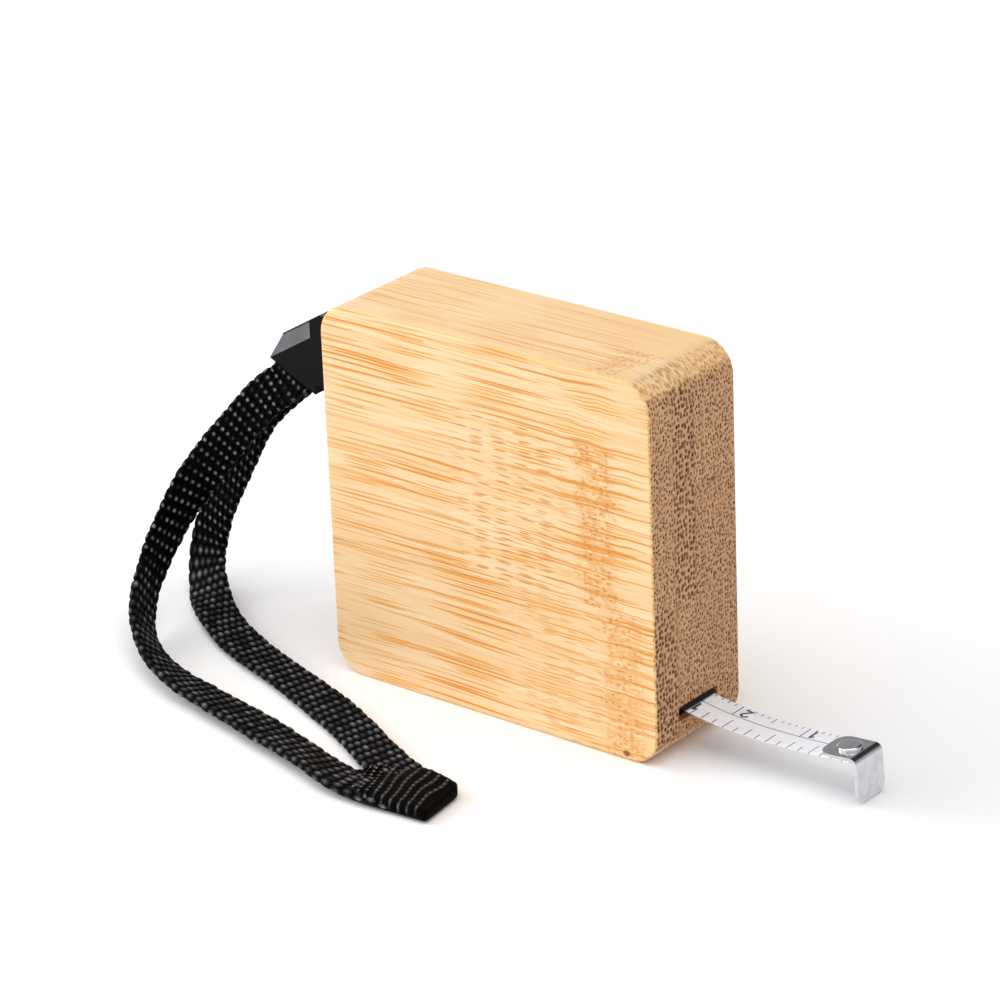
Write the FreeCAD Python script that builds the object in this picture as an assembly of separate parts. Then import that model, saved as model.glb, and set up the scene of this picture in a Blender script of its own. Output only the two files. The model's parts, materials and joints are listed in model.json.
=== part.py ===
import FreeCAD, Part
import math
import os

# Key-ring tape measure: a bamboo block in two glued halves round a plastic reel housing, with a
# one-metre steel blade on a spring reel, and a woven wrist strap on a plastic lug.
# Millimetres. X runs towards the blade's mouth, -Y is the front face, +Z is up.
# The origin is the centre of the block's base, on the surface that it stands on.

# Bamboo block
case_width = 51.0
case_height = 50.3
case_depth = 17.2
corner_radius = 4.1
edge_ease = 0.35
half_width = case_width / 2
half_depth = case_depth / 2

# Blade and its slot in the end face
blade_width = 5.9
blade_thickness = 0.2
blade_offset = -0.15
slot_half_width = 4.1
slot_low = 4.5
slot_high = 6.5
slot_corner = 0.5

# Reel and housing
reel_height = case_height / 2
reel_gap = 3.3
flange_thickness = 0.6
flange_radius = 15.5
drum_radius = 10.8
drum_wall = 1.0
coil_radius = 13.0
post_radius = 2.4
post_clearance = 0.05
housing_radius = 18.0
housing_wall = 1.0
housing_inner_half = 4.2
housing_half = housing_inner_half + housing_wall
spout_end = 24.0
spout_low = 3.4
spout_high = 9.0
lip_root = 23.2
lip_end = 26.05
lip_sides = (-3.7, 3.0)
lip_root_height = 0.7
lip_gap = 0.05
lip_bend = 0.15
lip_drop = 0.25
lip_edge = 0.14
lip_thin = 0.085
cavity_gap = 0.25
ear_radius = 2.2
ear_circle = 19.0
ear_angles = (40, 180, 250)

# Post slit, spring and screws
slit_half = 0.45
slit_start = 1.0
spring_low = -3.0
spring_high = 2.3
spring_thickness = 0.2
spring_first_radius = 2.9
spring_half_turns = 16
spring_clearance = 0.15
screw_radius = 0.7
screw_head_radius = 1.5
screw_head_height = 0.8
screw_tip = -1.5
centre_screw_tip = 1.0
drive_half_width = 0.2
drive_depth = 0.4
dowel_radius = 1.2
dowel_half_length = 4.5
dowel_places = ((-21.5, 47.0), (21.5, 47.0), (-21.5, 3.6), (22.0, 16.0))

# Hook, in its own frame: x along the blade from its zero line, z up from the blade's middle
hook_zero = (50.37, 5.6)
hook_pitch = 3.9
hook_thickness = 0.4
hook_plate = 5.2
hook_drop = 5.46
hook_width = 5.6
hook_clearance = 0.05
hook_bend = 0.95
hook_plate_corner = 1.7
hook_leg_corner = 1.2
blade_short = 0.5
blade_leaves_coil_slope = 13.4
blade_leaves_coil_gap = 0.35
blade_inside = (22.5, 6.5)
blade_outside = ((25.5, 5.88), (30.4, 5.19), (35.4, 4.92), (40.4, 4.99))
rivet_place = -2.35
rivet_shank = 0.7
rivet_head = 1.6
rivet_head_height = 0.45
rivet_shoulder = 0.3
rivet_tail = 1.1
rivet_tail_height = 0.2

# Strap lug: corners of its side outline, and the slot face between the tip and the heel
lug_half = 3.0
lug_tip = (-39.25, 38.05)
lug_shoulder = (-38.0, 41.2)
lug_ridge_end = (-31.85, 44.85)
lug_heel = (-31.85, 34.55)
lug_bevel = 1.4
lug_bevel_height = 1.88
tang_half = 2.3
neck_low = 35.9
neck_high = 45.6
neck_overlap = 0.35
neck_slope_run = 1.8
neck_slope_drop = 1.2
tang_low = 37.0
tang_high = 44.5
tang_end = -20.0
tang_head_end = -18.4
tang_head_half = 3.2
lug_pin_radius = 0.7
lug_pin_depth = 1.0

# Woven strap
strap_width = 5.4
strap_thickness = 1.0
strap_middle = 2.95
strap_spread = 1.25
strap_tube = 1.15
strap_slot_gap = 0.05
weld_outline = ((6.4, -36.4), (11.2, -36.2), (11.7, -35.4), (9.4, -27.6), (8.6, -27.0),
                (6.4, -26.6))
weld_low = 0.1
weld_height = 3.4

front_route = (
    (-36.59, -1.25, 36.78), (-37.71, -1.25, 34.43), (-40.9, -1.3, 32.6), (-45.6, -1.45, 27.7),
    (-51.2, -1.9, 21.3), (-56.1, -3.4, 14.2), (-56.7, -9.4, 7.1), (-52.6, -16.6, 3.3),
    (-46.0, -21.7, 1.8), (-38.8, -25.0, 1.6), (-31.4, -26.8, 1.5), (-22.3, -28.8, 1.4),
    (-10.7, -31.9, 1.35), (-1.2, -34.9, 1.3), (6.4, -33.9, 1.3))

back_route = (
    (-36.59, 1.25, 36.78), (-37.71, 1.25, 34.43), (-40.9, 1.3, 31.9), (-45.2, 1.45, 27.2),
    (-50.2, 1.7, 19.7), (-54.4, 2.0, 12.6), (-56.9, 1.7, 5.6), (-54.4, -1.6, 1.5),
    (-47.9, -6.9, 1.3), (-39.0, -12.0, 1.25), (-26.3, -16.2, 1.25), (-12.6, -21.6, 1.25),
    (-3.3, -26.85, 1.3), (2.4, -28.9, 1.4), (6.4, -29.1, 1.4))


def vector(point):
    return FreeCAD.Vector(*point)


def prism(outline, low, high):
    """A solid with its outline in X and Z, from y = low to y = high."""
    corners = [FreeCAD.Vector(x, low, z) for x, z in outline]
    face = Part.Face(Part.makePolygon(corners + corners[:1]))
    return face.extrude(FreeCAD.Vector(0, high - low, 0))


def disc(x, z, radius, low, high):
    """A round solid along Y, from y = low to y = high."""
    return Part.makeCylinder(radius, high - low, FreeCAD.Vector(x, low, z), FreeCAD.Vector(0, 1, 0))


def block(x_range, y_range, z_range):
    size = [high - low for low, high in (x_range, y_range, z_range)]
    return Part.makeBox(*size, FreeCAD.Vector(x_range[0], y_range[0], z_range[0]))


def edges_along(shape, direction):
    """The straight edges that run along one axis."""
    found = []
    for edge in shape.Edges:
        line = edge.Vertexes[-1].Point - edge.Vertexes[0].Point
        if line.Length > 0 and abs(line.normalize().dot(direction)) > 0.999:
            found.append(edge)
    return found


def on_reel(angle, radius):
    """A point at an angle round the reel's axis, as X and Z."""
    turn = math.radians(angle)
    return radius * math.cos(turn), reel_height + radius * math.sin(turn)


# ---- bamboo block ----

def housing_outline(grow, low, high):
    """The reel housing's outer shape: a round drum, a square lower corner and a spout."""
    shape = disc(0, reel_height, housing_radius + grow, low, high)
    corner = block((0, housing_radius + grow), (low, high), (spout_low - grow, reel_height))
    spout = block((0, spout_end + grow), (low, high), (spout_low - grow, spout_high + grow))
    ears = [disc(*on_reel(angle, ear_circle), ear_radius + grow, low, high) for angle in ear_angles]
    return shape.multiFuse([corner, spout] + ears).removeSplitter()


def blade_slot():
    slot = block((spout_end - 1, half_width + 1), (-slot_half_width, slot_half_width),
                 (slot_low, slot_high))
    return slot.makeFillet(slot_corner, edges_along(slot, FreeCAD.Vector(1, 0, 0)))


def bamboo_half(side):
    """One half of the block. side is -1 for the front half and 1 for the rear half."""
    low, high = sorted((0, side * half_depth))
    half = block((-half_width, half_width), (low, high), (0, case_height))
    half = half.makeFillet(corner_radius, edges_along(half, FreeCAD.Vector(0, 1, 0)))
    outer = [edge for edge in half.Edges if abs(edge.CenterOfMass.y - side * half_depth) < 0.01]
    half = half.makeFillet(edge_ease, outer)
    cavity = sorted((-side, side * (housing_half + 0.2)))
    half = half.cut(housing_outline(cavity_gap, *cavity))
    half = half.cut(blade_slot())
    half = half.cut(lug_root(0.05))
    for x, z in dowel_places:
        half = half.cut(disc(x, z, dowel_radius, -dowel_half_length, dowel_half_length))
    return half


def rear_half():
    """The rear half also has a pocket over each screw head."""
    half = bamboo_half(1)
    for x, z in screw_places():
        half = half.cut(disc(x, z, screw_head_radius + 0.3, 0, housing_half + screw_head_height + 0.3))
    return half


def dowels():
    return Part.makeCompound([disc(x, z, dowel_radius, -dowel_half_length, dowel_half_length)
                              for x, z in dowel_places])


# ---- reel housing ----

def screw_places():
    return [on_reel(angle, ear_circle) for angle in ear_angles] + [(0, reel_height)]


def housing_inside(low, high):
    """The room for the reel, and the blade's way out through the spout."""
    round_room = disc(0, reel_height, housing_radius - housing_wall, low, high)
    side = housing_radius - housing_wall
    way_out = prism([(0, spout_low + housing_wall), (spout_end + 1, spout_low + housing_wall),
                     (spout_end + 1, slot_high + 0.2), (spout_end - 1, slot_high + 0.2),
                     (side, spout_high - 0.3), (side, reel_height), (0, reel_height)], low, high)
    return round_room.fuse(way_out)


def spout_lip():
    """The lip over the blade, from the spout's ceiling to just outside the block."""
    ceiling = slot_high + lip_root_height
    top = slot_high - lip_gap
    front = spout_end - lip_gap
    outline = [(lip_root, ceiling), (front, ceiling), (front, top), (half_width - lip_bend, top),
               (lip_end, top - lip_drop), (lip_end, top - lip_drop - lip_edge),
               (spout_end, top - lip_thin), (lip_root, slot_high + lip_thin)]
    return prism(outline, *lip_sides)


def housing_body():
    body = housing_outline(0, -housing_half, housing_inner_half)
    body = body.cut(housing_inside(-housing_inner_half, housing_inner_half + 1)).fuse(spout_lip())
    for x, z in screw_places()[:-1]:
        body = body.cut(disc(x, z, screw_radius, screw_tip, housing_inner_half + 1))
    return body.cut(disc(0, reel_height, post_radius - 0.9, -housing_half - 1, 0))


def housing_cover():
    cover = housing_outline(0, housing_inner_half, housing_half)
    for x, z in screw_places():
        cover = cover.cut(disc(x, z, screw_radius + 0.1, 0, housing_half + 1))
    return cover


def screw(x, z, tip):
    head = disc(x, z, screw_head_radius, housing_half, housing_half + screw_head_height)
    depths = (housing_half + drive_depth, housing_half + 2)
    slot = block((x - 2, x + 2), depths, (z - drive_half_width, z + drive_half_width))
    cross = block((x - drive_half_width, x + drive_half_width), depths, (z - 2, z + 2))
    recess = disc(x, z, screw_head_radius * 0.6, housing_half, housing_half + 2)
    head = head.cut(slot.fuse(cross).common(recess))
    return head.fuse(disc(x, z, screw_radius, tip, housing_half))


def housing_screws():
    return Part.makeCompound([screw(x, z, screw_tip) for x, z in screw_places()[:-1]])


def centre_screw():
    return screw(0, reel_height, centre_screw_tip)


def centre_post():
    """The fixed post that the reel turns on, slit on one side for the spring's inner end."""
    post = disc(0, reel_height, post_radius, -housing_inner_half, housing_inner_half)
    stub = disc(0, reel_height, post_radius - 0.9, -housing_half, -housing_inner_half)
    slit = block((slit_start, post_radius + 1), (spring_low - 0.2, spring_high + 0.9),
                 (reel_height - slit_half, reel_height + slit_half))
    screw_hole = disc(0, reel_height, screw_radius, centre_screw_tip, housing_inner_half + 1)
    return post.fuse(stub).cut(slit).cut(screw_hole)


# ---- reel ----

def reel_drum():
    """A drum that holds the spring, with the front flange in one piece."""
    drum = disc(0, reel_height, drum_radius, -reel_gap, reel_gap)
    drum = drum.cut(disc(0, reel_height, drum_radius - drum_wall, -reel_gap, reel_gap))
    flange = disc(0, reel_height, flange_radius, -reel_gap - flange_thickness, -reel_gap)
    bore = disc(0, reel_height, post_radius + post_clearance, -reel_gap - 1, 0)
    return drum.fuse(flange.cut(bore))


def reel_cover():
    """The rear flange, with a rim that fits inside the drum."""
    flange = disc(0, reel_height, flange_radius, reel_gap, reel_gap + flange_thickness)
    rim = disc(0, reel_height, drum_radius - drum_wall - 0.02, reel_gap - 0.7, reel_gap)
    rim = rim.cut(disc(0, reel_height, drum_radius - 2 * drum_wall, 0, reel_gap))
    bore = disc(0, reel_height, post_radius + post_clearance, 0, reel_gap + 1)
    return flange.fuse(rim).cut(bore)


def strip(centre_line, thickness, low, high):
    """A thin strip along a line of X and Z points, from y = low to y = high."""
    sides = ([], [])
    for number, (x, z) in enumerate(centre_line):
        before = centre_line[max(number - 1, 0)]
        after = centre_line[min(number + 1, len(centre_line) - 1)]
        run = math.hypot(after[0] - before[0], after[1] - before[1])
        across = (-(after[1] - before[1]) / run, (after[0] - before[0]) / run)
        for side, points in zip((-0.5, 0.5), sides):
            step = side * thickness
            points.append(FreeCAD.Vector(x + across[0] * step, low, z + across[1] * step))
    curves = []
    for points in sides:
        curve = Part.BSplineCurve()
        curve.interpolate(points)
        curves.append(curve.toShape())
    ends = [Part.makeLine(sides[0][0], sides[1][0]), Part.makeLine(sides[0][-1], sides[1][-1])]
    wire = Part.Wire(Part.__sortEdges__([curves[0], ends[1], curves[1], ends[0]]))
    return Part.Face(wire).extrude(FreeCAD.Vector(0, high - low, 0))


def spiral_side(step, pitch):
    """One side of the spring, step out from its middle line, as half circles about two centres."""
    arcs = []
    for number in range(spring_half_turns):
        radius = spring_first_radius + number * pitch / 2 + step
        centre = pitch / 2 * (number % 2)
        way = 1 - 2 * (number % 2)
        start, top, end = [FreeCAD.Vector(centre + way * x * radius, spring_low,
                                          reel_height + way * z * radius)
                           for x, z in ((1, 0), (0, 1), (-1, 0))]
        arcs.append(Part.Arc(start, top, end).toShape())
    return arcs


def power_spring():
    """The flat spiral spring: its inner end is in the post's slit, its outer end at the drum."""
    last_radius = drum_radius - drum_wall - spring_clearance
    pitch = 2 * (last_radius - spring_first_radius) / spring_half_turns
    half = spring_thickness / 2
    inner = spiral_side(-half, pitch)
    outer = spiral_side(half, pitch)
    start = Part.makeLine(inner[0].Vertexes[0].Point, outer[0].Vertexes[0].Point)
    end = Part.makeLine(inner[-1].Vertexes[-1].Point, outer[-1].Vertexes[-1].Point)
    wire = Part.Wire(Part.__sortEdges__([start] + outer + [end] + inner))
    length = FreeCAD.Vector(0, spring_high - spring_low, 0)
    tang = block((slit_start + 0.3, spring_first_radius), (spring_low, spring_high),
                 (reel_height - half, reel_height + half))
    return Part.Face(wire).extrude(length).fuse(tang)


def wound_blade():
    """The turns of blade that stay on the drum, as one pack."""
    low = blade_offset - blade_width / 2
    coil = disc(0, reel_height, coil_radius, low, low + blade_width)
    return coil.cut(disc(0, reel_height, drum_radius + 0.02, low - 1, low + blade_width + 1))


# ---- blade, hook and rivet ----

def blade_line():
    """The blade's middle line from the coil to its end, as X and Z."""
    slope = math.radians(blade_leaves_coil_slope)
    clear = coil_radius + blade_leaves_coil_gap
    leaves_coil = (-clear * math.sin(slope), reel_height - clear * math.cos(slope))
    middle = ((leaves_coil[0] + blade_inside[0]) / 2, (leaves_coil[1] + blade_inside[1]) / 2)
    pitch = math.radians(hook_pitch)
    under_hook = [(hook_zero[0] - back * math.cos(pitch), hook_zero[1] - back * math.sin(pitch))
                  for back in (hook_plate, hook_plate / 2, blade_short)]
    return [leaves_coil, middle, blade_inside] + list(blade_outside) + under_hook


def rivet_hole():
    return in_hook_frame(Part.makeCylinder(rivet_shank, 4, FreeCAD.Vector(rivet_place, 0, -2)))


def blade():
    low = blade_offset - blade_width / 2
    return strip(blade_line(), blade_thickness, low, low + blade_width).cut(rivet_hole())


def in_hook_frame(shape):
    """Moves a shape from the hook's own frame to its place at the end of the blade."""
    shape = shape.copy()
    shape.rotate(FreeCAD.Vector(0, 0, 0), FreeCAD.Vector(0, 1, 0), -hook_pitch)
    shape.translate(FreeCAD.Vector(hook_zero[0], blade_offset, hook_zero[1]))
    return shape


def end_hook():
    """A plate on the blade's end, bent down into a leg."""
    under = blade_thickness / 2
    top = under + hook_thickness
    inner = hook_clearance
    outer = inner + hook_thickness
    half = hook_width / 2
    profile = prism([(-hook_plate, under), (inner, under), (inner, -hook_drop), (outer, -hook_drop),
                     (outer, top), (-hook_plate, top)], -half, half)
    for x, z, radius in ((outer, top, hook_bend), (inner, under, hook_bend - hook_thickness)):
        bend = [edge for edge in edges_along(profile, FreeCAD.Vector(0, 1, 0))
                if abs(edge.CenterOfMass.x - x) < 0.01 and abs(edge.CenterOfMass.z - z) < 0.01]
        profile = profile.makeFillet(radius, bend)
    plan = Part.makeBox(hook_plate + 1, hook_width, 8, FreeCAD.Vector(-hook_plate, -half, -7))
    plan = plan.makeFillet(hook_plate_corner, [edge for edge in edges_along(plan, FreeCAD.Vector(0, 0, 1))
                                               if edge.CenterOfMass.x < 0])
    front = Part.makeBox(8, hook_width, hook_drop + 2, FreeCAD.Vector(-7, -half, -hook_drop))
    front = front.makeFillet(hook_leg_corner, [edge for edge in edges_along(front, FreeCAD.Vector(1, 0, 0))
                                               if edge.CenterOfMass.z < 0])
    return in_hook_frame(profile.common(plan).common(front)).cut(rivet_hole())


def hook_rivet():
    """A rivet with a flat head and rounded shoulders, through the plate and the blade."""
    under = blade_thickness / 2
    seat = under + hook_thickness
    shank_low = -under - rivet_tail_height
    head = Part.makeCylinder(rivet_head, rivet_head_height, FreeCAD.Vector(rivet_place, 0, seat))
    rim = [edge for edge in head.Edges if abs(edge.CenterOfMass.z - seat - rivet_head_height) < 0.01
           and len(edge.Vertexes) == 1]
    head = head.makeFillet(rivet_shoulder, rim)
    low_end = FreeCAD.Vector(rivet_place, 0, shank_low)
    shank = Part.makeCylinder(rivet_shank, seat - shank_low, low_end)
    tail = Part.makeCylinder(rivet_tail, rivet_tail_height, low_end)
    return in_hook_frame(head.fuse(shank).fuse(tail))


# ---- strap lug ----

def slot_face_frame():
    """The lug's slot face: its tip, the direction along it, and the direction into the lug."""
    tip = FreeCAD.Vector(lug_tip[0], 0, lug_tip[1])
    along = (FreeCAD.Vector(lug_heel[0], 0, lug_heel[1]) - tip).normalize()
    inward = FreeCAD.Vector(-along.z, 0, along.x)
    return tip, along, inward


def at_slot_face(shape):
    """Moves a shape whose x is along the slot face and whose z is into the lug."""
    tip, along, inward = slot_face_frame()
    place = FreeCAD.Matrix(along.x, 0, inward.x, tip.x, 0, 1, 0, 0,
                           along.z, 0, inward.z, tip.z, 0, 0, 0, 1)
    shape = shape.copy()
    shape.transformShape(place)
    return shape


def lug_root(gap):
    """The tang that is held between the bamboo halves."""
    neck = block((-half_width - 1, tang_end), (-tang_half - gap, tang_half + gap),
                 (tang_low - gap, tang_high + gap))
    head = block((tang_end - gap, tang_head_end + gap), (-tang_head_half - gap, tang_head_half + gap),
                 (tang_low - 1 - gap, tang_high + 0.7 + gap))
    return neck.fuse(head)


def lug_bevels(body):
    """Cuts the sloping faces on both sides of the lug's upper edge."""
    x, z = lug_tip
    run = (lug_ridge_end[0] - lug_shoulder[0], lug_ridge_end[1] - lug_shoulder[1])
    length = math.hypot(*run)
    along = FreeCAD.Vector(run[0] / length, 0, run[1] / length)
    up = FreeCAD.Vector(-along.z, 0, along.x)
    start = FreeCAD.Vector(x, 0, z) - along * 3
    for side in (-1, 1):
        corners = [(lug_half, 0), (lug_half - lug_bevel, lug_bevel_height), (lug_half - lug_bevel, 6),
                   (lug_half + 1, 6), (lug_half + 1, 0)]
        points = [start + FreeCAD.Vector(0, side * y, 0) + up * height for y, height in corners]
        face = Part.Face(Part.makePolygon(points + points[:1]))
        body = body.cut(face.extrude(along * 16))
    return body


def strap_room():
    """The slot in the lug, with a round inner end for the fold of the strap."""
    low = strap_middle - strap_width / 2 - strap_slot_gap
    length = strap_width + 2 * strap_slot_gap
    reach = strap_spread + strap_thickness / 2 + strap_slot_gap
    mouth = Part.makeBox(length, 2 * reach, lug_pin_depth + 2, FreeCAD.Vector(low, -reach, -2))
    end = Part.makeCylinder(reach, length, FreeCAD.Vector(low, 0, lug_pin_depth),
                            FreeCAD.Vector(1, 0, 0))
    return at_slot_face(mouth.fuse(end))


def strap_lug():
    body = prism([lug_tip, lug_shoulder, lug_ridge_end, lug_heel], -lug_half, lug_half)
    body = lug_bevels(body)
    neck_start = lug_heel[0] - neck_overlap
    neck = prism([(neck_start, neck_high - neck_slope_drop), (neck_start + neck_slope_run, neck_high),
                  (-half_width, neck_high), (-half_width, neck_low), (neck_start, neck_low)],
                 -lug_half, lug_half)
    body = body.fuse(neck).fuse(lug_root(0)).removeSplitter()
    return body.cut(strap_room()).cut(lug_pin())


def lug_pin():
    """The pin across the slot that the strap goes round."""
    low = strap_middle - strap_width / 2 - strap_slot_gap
    return at_slot_face(Part.makeCylinder(lug_pin_radius, strap_width + 1.6,
                                          FreeCAD.Vector(low, 0, lug_pin_depth),
                                          FreeCAD.Vector(1, 0, 0)))


# ---- strap ----

def strap_fold():
    """The stretch of strap inside the lug, round the pin."""
    low = strap_middle - strap_width / 2
    outer = strap_spread + strap_thickness / 2
    inner = strap_spread - strap_thickness / 2
    start = FreeCAD.Vector(low, 0, lug_pin_depth)
    lengthwise = FreeCAD.Vector(1, 0, 0)
    round_end = Part.makeCylinder(outer, strap_width, start, lengthwise)
    round_end = round_end.cut(Part.makeCylinder(inner, strap_width, start, lengthwise))
    inside = Part.makeBox(strap_width, 2 * outer, outer + 1, FreeCAD.Vector(low, -outer, lug_pin_depth))
    fold = round_end.common(inside)
    for side in (-1, 1):
        y = side * strap_spread - strap_thickness / 2
        fold = fold.fuse(Part.makeBox(strap_width, strap_thickness, lug_pin_depth,
                                      FreeCAD.Vector(low, y, 0)))
    return at_slot_face(fold.removeSplitter())


def rounded_path(points):
    """Straight runs joined by tangent arcs, and the radius of each arc."""
    corners = [vector(point) for point in points]
    edges = []
    radii = []
    last = corners[0]
    for before, corner, after in zip(corners, corners[1:], corners[2:]):
        back = before - corner
        ahead = after - corner
        trim = 0.45 * min(back.Length, ahead.Length)
        half_turn = (math.pi - back.getAngle(ahead)) / 2
        radii.append(trim / math.tan(half_turn))
        back.normalize()
        ahead.normalize()
        arc_start = corner + back * trim
        arc_end = corner + ahead * trim
        bisector = (back + ahead).normalize()
        centre = corner + bisector * math.hypot(radii[-1], trim)
        edges.append(Part.LineSegment(last, arc_start).toShape())
        edges.append(Part.Arc(arc_start, centre - bisector * radii[-1], arc_end).toShape())
        last = arc_end
    edges.append(Part.LineSegment(last, corners[-1]).toShape())
    return Part.Wire(edges), radii


def strap_strand(name, route):
    """One strand of the strap, as a round tube along its route."""
    path, radii = rounded_path(route)
    direction = vector(route[1]) - vector(route[0])
    ring = Part.Wire(Part.Circle(vector(route[0]), direction, strap_tube).toShape())
    tube = path.makePipeShell([ring], True, True)
    expected = math.pi * strap_tube ** 2 * path.Length
    print(name, "length", round(path.Length, 1), "radii", [round(radius, 1) for radius in radii],
          "volume ratio", round(tube.Volume / expected, 4))
    return tube


def strap_weld():
    """The fused end that joins the two ends of the strap."""
    corners = [FreeCAD.Vector(x, y, weld_low) for x, y in weld_outline]
    face = Part.Face(Part.makePolygon(corners + corners[:1]))
    return face.extrude(FreeCAD.Vector(0, 0, weld_height))


def main():
    nodes = {
        "front_shell": bamboo_half(-1),
        "rear_shell": rear_half(),
        "shell_dowels": dowels(),
        "housing_body": housing_body(),
        "housing_cover": housing_cover(),
        "housing_screws": housing_screws(),
        "centre_screw": centre_screw(),
        "centre_post": centre_post(),
        "reel_drum": reel_drum(),
        "reel_cover": reel_cover(),
        "power_spring": power_spring(),
        "wound_blade": wound_blade(),
        "blade": blade(),
        "end_hook": end_hook(),
        "hook_rivet": hook_rivet(),
        "strap_lug": strap_lug(),
        "lug_pin": lug_pin(),
        "strap_fold": strap_fold(),
        "strap_front": strap_strand("strap_front", front_route),
        "strap_back": strap_strand("strap_back", back_route),
        "strap_weld": strap_weld(),
    }
    os.makedirs("parts", exist_ok=True)
    for name, shape in nodes.items():
        shape.exportStep(f"parts/{name}.step")
        print(name, "solids", len(shape.Solids), "valid", shape.isValid(), "volume", round(shape.Volume, 1))


main()
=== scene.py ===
import json
import math

import bpy
import numpy as np
from mathutils import Matrix, Vector

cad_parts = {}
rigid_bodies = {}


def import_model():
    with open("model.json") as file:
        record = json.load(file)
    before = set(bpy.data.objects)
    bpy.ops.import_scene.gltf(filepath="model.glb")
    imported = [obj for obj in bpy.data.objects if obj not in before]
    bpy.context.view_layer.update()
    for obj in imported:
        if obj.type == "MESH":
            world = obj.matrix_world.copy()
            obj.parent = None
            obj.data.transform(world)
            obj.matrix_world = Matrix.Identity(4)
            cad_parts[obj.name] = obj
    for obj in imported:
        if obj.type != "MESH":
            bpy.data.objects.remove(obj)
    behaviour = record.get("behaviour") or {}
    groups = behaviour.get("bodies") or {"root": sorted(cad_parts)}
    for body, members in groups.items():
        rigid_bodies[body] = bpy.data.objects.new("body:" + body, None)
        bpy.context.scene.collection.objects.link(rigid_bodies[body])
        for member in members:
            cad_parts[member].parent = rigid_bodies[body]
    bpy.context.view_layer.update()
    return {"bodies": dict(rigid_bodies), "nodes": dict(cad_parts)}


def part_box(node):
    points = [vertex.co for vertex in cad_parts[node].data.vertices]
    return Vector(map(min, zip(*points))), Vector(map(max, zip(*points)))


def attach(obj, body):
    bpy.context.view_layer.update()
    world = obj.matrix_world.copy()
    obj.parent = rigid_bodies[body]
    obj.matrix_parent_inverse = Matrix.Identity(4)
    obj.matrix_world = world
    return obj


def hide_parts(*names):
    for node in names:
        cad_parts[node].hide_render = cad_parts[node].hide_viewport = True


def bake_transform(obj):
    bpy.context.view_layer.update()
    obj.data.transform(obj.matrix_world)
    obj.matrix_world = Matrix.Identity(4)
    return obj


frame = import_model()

# A one-metre tape measure in a bamboo block, with its blade a little way out and a woven wrist strap.
# Metres in the row frame: X runs towards the blade's mouth, -Y is the front face, +Z is up.
# Materials work in millimetres, because grain, weave and printed marks are that size.
mm = 0.001
nodes = frame["nodes"]
case_low, case_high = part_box("front_shell")
blade_low, blade_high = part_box("blade")

# From the blade's cut end to its zero line at the hook's inner face, in millimetres
hook_reach = 0.5

# Woven strap
strap_width = 5.4 * mm
strap_thickness = 1.0 * mm
strap_exit_spread = 1.25 * mm
weave_columns = 26
weave_row = 1.65 * mm
weave_pattern_rows = 97
weave_relief = 0.19 * mm
samples_per_column = 4
samples_per_row = 11
weave_circumference = 2 * (strap_width - strap_thickness) + math.pi * strap_thickness

front_route = (
    (-0.03659, -0.00125, 0.03678), (-0.03771, -0.00125, 0.03443), (-0.0409, -0.0013, 0.0326),
    (-0.0456, -0.00145, 0.0277), (-0.0512, -0.0019, 0.0213), (-0.0561, -0.0034, 0.0142),
    (-0.0567, -0.0094, 0.0071), (-0.0526, -0.0166, 0.0033), (-0.0460, -0.0217, 0.0018),
    (-0.0388, -0.0250, 0.0016), (-0.0314, -0.0268, 0.0015), (-0.0223, -0.0288, 0.0014),
    (-0.0107, -0.0319, 0.00135), (-0.0012, -0.0349, 0.00125), (0.0064, -0.0339, 0.0009))

back_route = (
    (-0.03659, 0.00125, 0.03678), (-0.03771, 0.00125, 0.03443), (-0.0409, 0.0013, 0.0319),
    (-0.0452, 0.00145, 0.0272), (-0.0502, 0.0017, 0.0197), (-0.0544, 0.0020, 0.0126),
    (-0.0569, 0.0017, 0.0056), (-0.0544, -0.0016, 0.0015), (-0.0479, -0.0069, 0.0011),
    (-0.0390, -0.0120, 0.0010), (-0.0263, -0.0162, 0.0010), (-0.0126, -0.0216, 0.0010),
    (-0.0033, -0.02685, 0.0011), (0.0024, -0.0289, 0.0012), (0.0064, -0.0291, 0.0009))

# The way each strand's width points, at shares of its length
front_lay = (
    (0.0, (0.903, 0.0, -0.430)), (0.1, (0.72, 0.13, -0.68)), (0.2, (0.73, 0.31, -0.61)),
    (0.3, (0.25, 0.75, -0.61)), (0.38, (0.05, 0.55, -0.83)), (0.46, (0.24, 0.55, -0.80)),
    (0.54, (0.36, 0.79, -0.50)), (0.62, (0.23, 0.95, -0.22)), (0.75, (0.24, 0.97, -0.10)),
    (0.86, (0.29, 0.93, -0.20)), (0.93, (0.12, 0.99, -0.05)), (1.0, (-0.12, 0.99, 0.0)))

back_lay = (
    (0.0, (0.903, 0.0, -0.430)), (0.1, (0.70, -0.40, -0.59)), (0.2, (0.84, -0.09, -0.53)),
    (0.3, (0.93, -0.01, -0.35)), (0.38, (0.82, 0.39, 0.43)), (0.46, (0.57, 0.82, 0.03)),
    (0.54, (0.43, 0.90, 0.06)), (0.62, (0.32, 0.95, -0.02)), (0.75, (0.37, 0.92, 0.10)),
    (0.88, (0.46, 0.86, 0.12)), (1.0, (0.06, 0.99, 0.05)))

# Heights of the glued joints between the bamboo strips in each half, in millimetres
front_joints = (19.6, 41.2)
rear_joints = (11.5, 34.2)

# The lug's slot face: its slope, and the way out of it
slot_along = Vector((0.903, 0.0, -0.430))
slot_out = Vector((-0.430, 0.0, -0.903))


# ---- materials ----

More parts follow.
